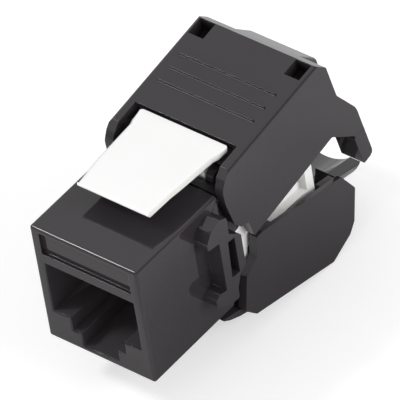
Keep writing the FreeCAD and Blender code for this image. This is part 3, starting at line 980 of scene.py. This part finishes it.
# The floor is nearly white to the camera and in reflections, and an ordinary pale surface to the light.
def floorMaterial(height, settings):
    material = bpy.data.materials.new("paleFloor")
    material.use_nodes = True
    tree = material.node_tree
    shader = tree.nodes["Principled BSDF"]
    shader.inputs["Roughness"].default_value = settings["roughness"]
    glow = tree.nodes.new("ShaderNodeEmission")
    path = tree.nodes.new("ShaderNodeLightPath")
    seen = seenRays(tree, path)
    tone = floorToneWithPaintedShadow(tree, path, height, settings)
    mirrored = mathNode(tree, "MULTIPLY")
    mirrored.inputs[1].default_value = settings["mirrorLift"]
    strength = mathNode(tree, "MULTIPLY_ADD")
    strength.inputs[1].default_value = settings["lift"] - settings["mirrorLift"]
    both = tree.nodes.new("ShaderNodeAddShader")
    link = tree.links.new
    link(tone.outputs[colorOut], shader.inputs["Base Color"])
    link(seen.outputs["Value"], mirrored.inputs[0])
    link(path.outputs["Is Camera Ray"], strength.inputs[0])
    link(mirrored.outputs["Value"], strength.inputs[2])
    link(strength.outputs["Value"], glow.inputs["Strength"])
    link(shader.outputs["BSDF"], both.inputs[0])
    link(glow.outputs["Emission"], both.inputs[1])
    link(both.outputs["Shader"], tree.nodes["Material Output"].inputs["Surface"])
    return material


def makeFloor(settings):
    height = cadBox[0].z - settings["gap"]
    bpy.ops.object.select_all(action="DESELECT")
    bpy.ops.mesh.primitive_plane_add(size=settings["size"], location=(0, 0, 0))
    floor = bpy.context.object
    floor.name = "floor"
    floor.data.transform(Matrix.Translation((0, 0, height)))
    floor.data.materials.append(floorMaterial(height, settings))


makeFloor(floorSettings)
print("floor ready")


worldSettings = {
    "background": 1.0,
    "fill": 0.66,
    "darkSide": 0.14,  # the room behind the camera, low on the right and front, seen only in reflections
    "darkTowards": (0.8, -0.55, -0.1),
    "darkEdge": (-0.05, 0.1),
    "darkTop": (0.55, 0.72),  # the dim room ends between these heights of a direction
}


# How much of the dim room a reflection meets: low directions towards the front right.
def dimRoom(tree, settings):
    coords = tree.nodes.new("ShaderNodeTexCoord")
    towards = tree.nodes.new("ShaderNodeVectorMath")
    towards.operation = "DOT_PRODUCT"
    towards.inputs[1].default_value = settings["darkTowards"]
    side = rangeNode(tree, settings["darkEdge"])
    split = tree.nodes.new("ShaderNodeSeparateXYZ")
    height = rangeNode(tree, settings["darkTop"], (1, 0))
    dim = mathNode(tree, "MULTIPLY")
    link = tree.links.new
    link(coords.outputs["Generated"], towards.inputs[0])
    link(coords.outputs["Generated"], split.inputs["Vector"])
    link(towards.outputs["Value"], side.inputs["Value"])
    link(split.outputs["Z"], height.inputs["Value"])
    link(side.outputs["Result"], dim.inputs[0])
    link(height.outputs["Result"], dim.inputs[1])
    return dim


def makeWorld(settings):
    world = bpy.data.worlds.new("studio")
    world.use_nodes = True
    tree = world.node_tree
    seen = tree.nodes["Background"]
    seen.inputs["Color"].default_value = (1, 1, 1, 1)
    fill = tree.nodes.new("ShaderNodeBackground")
    fill.inputs["Strength"].default_value = settings["fill"]
    path = tree.nodes.new("ShaderNodeLightPath")
    seenRay = seenRays(tree, path)
    dim = dimRoom(tree, settings)
    mirrored = mathNode(tree, "MULTIPLY")
    level = mathNode(tree, "MULTIPLY_ADD")
    level.inputs[1].default_value = settings["darkSide"] - settings["background"]
    level.inputs[2].default_value = settings["background"]
    mix = tree.nodes.new("ShaderNodeMixShader")
    link = tree.links.new
    link(dim.outputs["Value"], mirrored.inputs[0])
    link(path.outputs["Is Glossy Ray"], mirrored.inputs[1])
    link(mirrored.outputs["Value"], level.inputs[0])
    link(level.outputs["Value"], seen.inputs["Strength"])
    link(seenRay.outputs["Value"], mix.inputs["Fac"])
    link(fill.outputs["Background"], mix.inputs[1])
    link(seen.outputs["Background"], mix.inputs[2])
    link(mix.outputs["Shader"], tree.nodes["World Output"].inputs["Surface"])
    scene.world = world


makeWorld(worldSettings)
print("world ready")


# mirrored says whether reflections show the lamp
lampSettings = {
    "keyLamp": {"at": (-0.36, -0.24, 0.55), "size": 0.14, "power": 1.6, "mirrored": True},
    "sideLamp": {"at": (0.56, 0.14, 0.26), "size": 0.4, "power": 2.5, "mirrored": False},
    "frontLamp": {"at": (0.08, -0.75, 0.06), "size": 0.3, "power": 1.6, "mirrored": False},
}
lampsAim = Vector((0, 18 * mm, 0))


# A round soft lamp that faces the object.
def makeLamp(name, settings):
    data = bpy.data.lights.new(name, "AREA")
    data.shape = "DISK"
    data.size = settings["size"]
    data.energy = settings["power"]
    lamp = bpy.data.objects.new(name, data)
    lamp.location = settings["at"]
    lamp.rotation_euler = (lampsAim - Vector(settings["at"])).to_track_quat("-Z", "Y").to_euler()
    lamp.visible_glossy = settings["mirrored"]
    scene.collection.objects.link(lamp)


for lampName, settings in lampSettings.items():
    makeLamp(lampName, settings)


cameraSettings = {
    "at": (0.44786, -0.43295, 0.58140),
    "turn": (47.152, 7.185, 38.154),
    "lens": 729.85,
    "sensor": 36,
}


def makeCamera(settings):
    data = bpy.data.cameras.new("camera")
    data.lens = settings["lens"]
    data.sensor_width = settings["sensor"]
    camera = bpy.data.objects.new("camera", data)
    camera.location = settings["at"]
    camera.rotation_euler = [math.radians(angle) for angle in settings["turn"]]
    scene.collection.objects.link(camera)
    scene.camera = camera


makeCamera(cameraSettings)
scene.view_settings.view_transform = "Standard"
print("studio ready")
